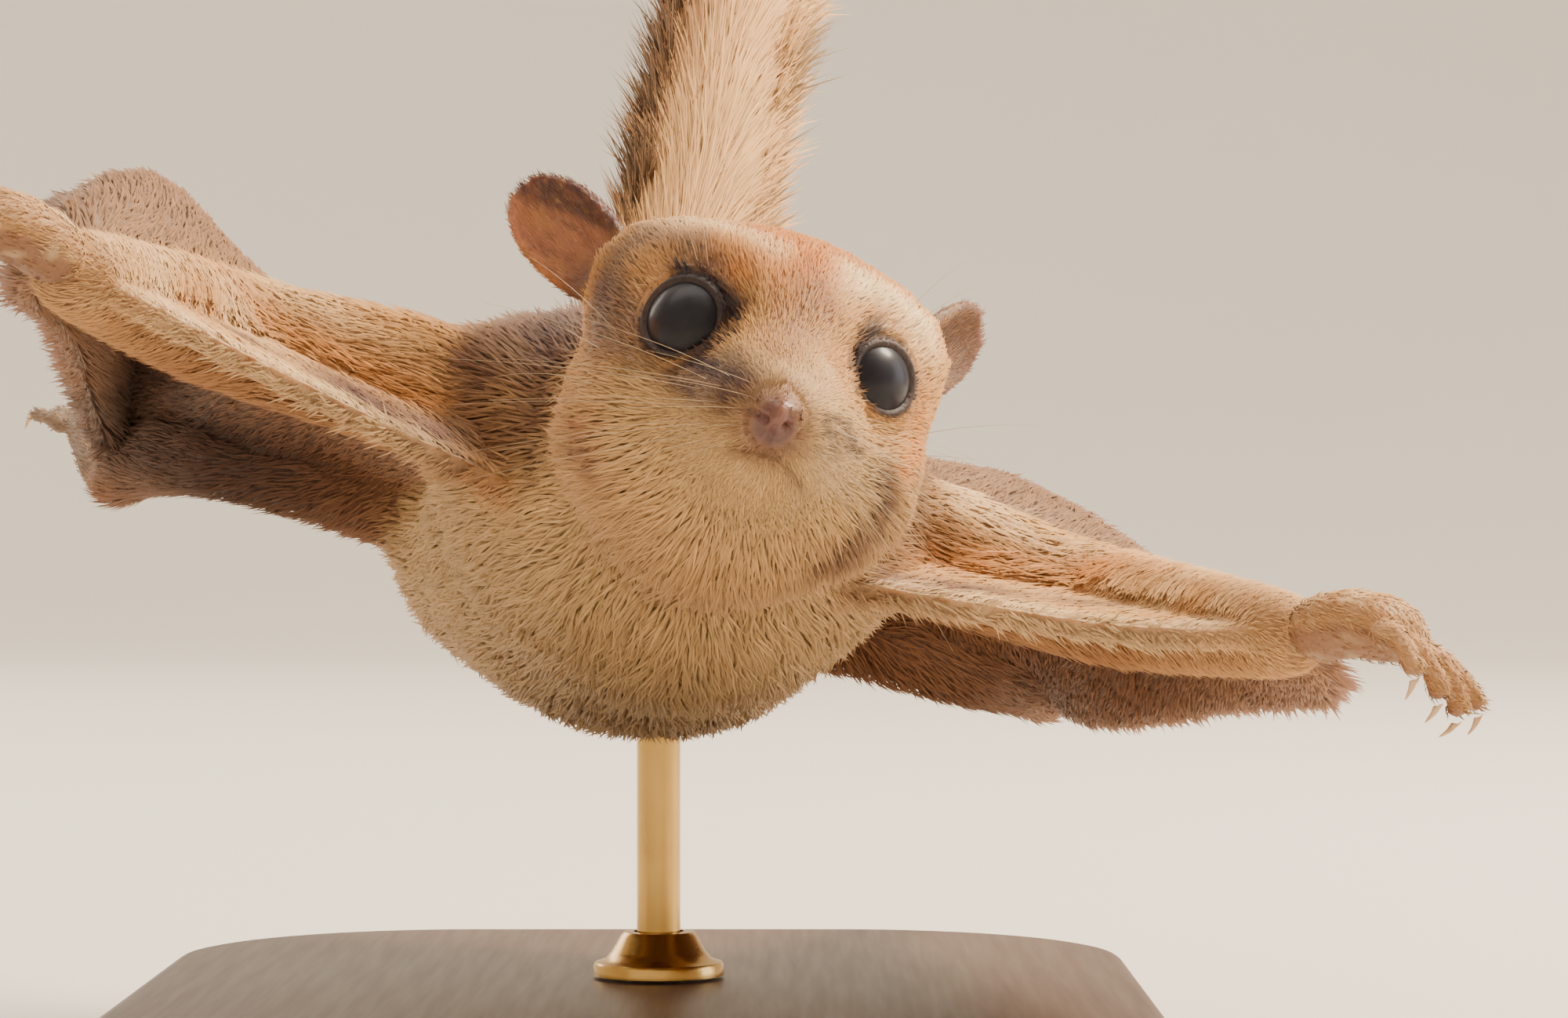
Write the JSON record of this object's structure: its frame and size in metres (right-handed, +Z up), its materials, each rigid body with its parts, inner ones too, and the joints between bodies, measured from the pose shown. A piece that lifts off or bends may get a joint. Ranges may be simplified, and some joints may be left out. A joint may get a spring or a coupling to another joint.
{
  "type": "flying squirrel model",
  "caption": "Life-size southern flying squirrel in a banked glide with limbs and gliding membranes spread, held over a flat wooden base by a short rod.",
  "frame": {"origin": "centre of the underside of the stand's base", "axes": "+Z up, -Y the way the animal faces, +X towards its left side"},
  "size_m": [0.1329, 0.1756, 0.1428],
  "materials": {
    "back_fur": "short dense fur, orange tan to grey brown",
    "face_fur": "very short fur, cream cheeks, orange tan crown, dark eye rings",
    "membrane_fur": "short fur, dark brown stripe in front, pale rim",
    "tail_fur": "flat side hair, orange tan",
    "bare_skin": "thin skin with fine hair",
    "eye": "wet, blue black",
    "claw": "pale horn",
    "stand_wood": "satin walnut",
    "stand_brass": "polished"
  },
  "bodies": {
    "root": {"ear_left": "bare_skin", "ear_right": "bare_skin", "eye_left": "eye", "eye_right": "eye", "foreleg_left": "back_fur", "foreleg_right": "back_fur", "forepaw_left": "bare_skin", "forepaw_left_claw_1": "claw", "forepaw_left_claw_2": "claw", "forepaw_left_claw_3": "claw", "forepaw_left_claw_4": "claw", "forepaw_right": "bare_skin", "forepaw_right_claw_1": "claw", "forepaw_right_claw_2": "claw", "forepaw_right_claw_3": "claw", "forepaw_right_claw_4": "claw", "front_membrane_left": "membrane_fur", "front_membrane_right": "membrane_fur", "gliding_membrane_left": "membrane_fur", "gliding_membrane_right": "membrane_fur", "head": "face_fur", "hind_foot_left": "bare_skin", "hind_foot_left_claw_1": "claw", "hind_foot_left_claw_2": "claw", "hind_foot_left_claw_3": "claw", "hind_foot_left_claw_4": "claw", "hind_foot_left_claw_5": "claw", "hind_foot_right": "bare_skin", "hind_foot_right_claw_1": "claw", "hind_foot_right_claw_2": "claw", "hind_foot_right_claw_3": "claw", "hind_foot_right_claw_4": "claw", "hind_foot_right_claw_5": "claw", "hind_leg_left": "back_fur", "hind_leg_right": "back_fur", "neck": "back_fur", "stand_base": "stand_wood", "stand_collar": "stand_brass", "stand_rod": "stand_brass", "tail": "tail_fur", "torso": "back_fur"}
  },
  "joints": []
}
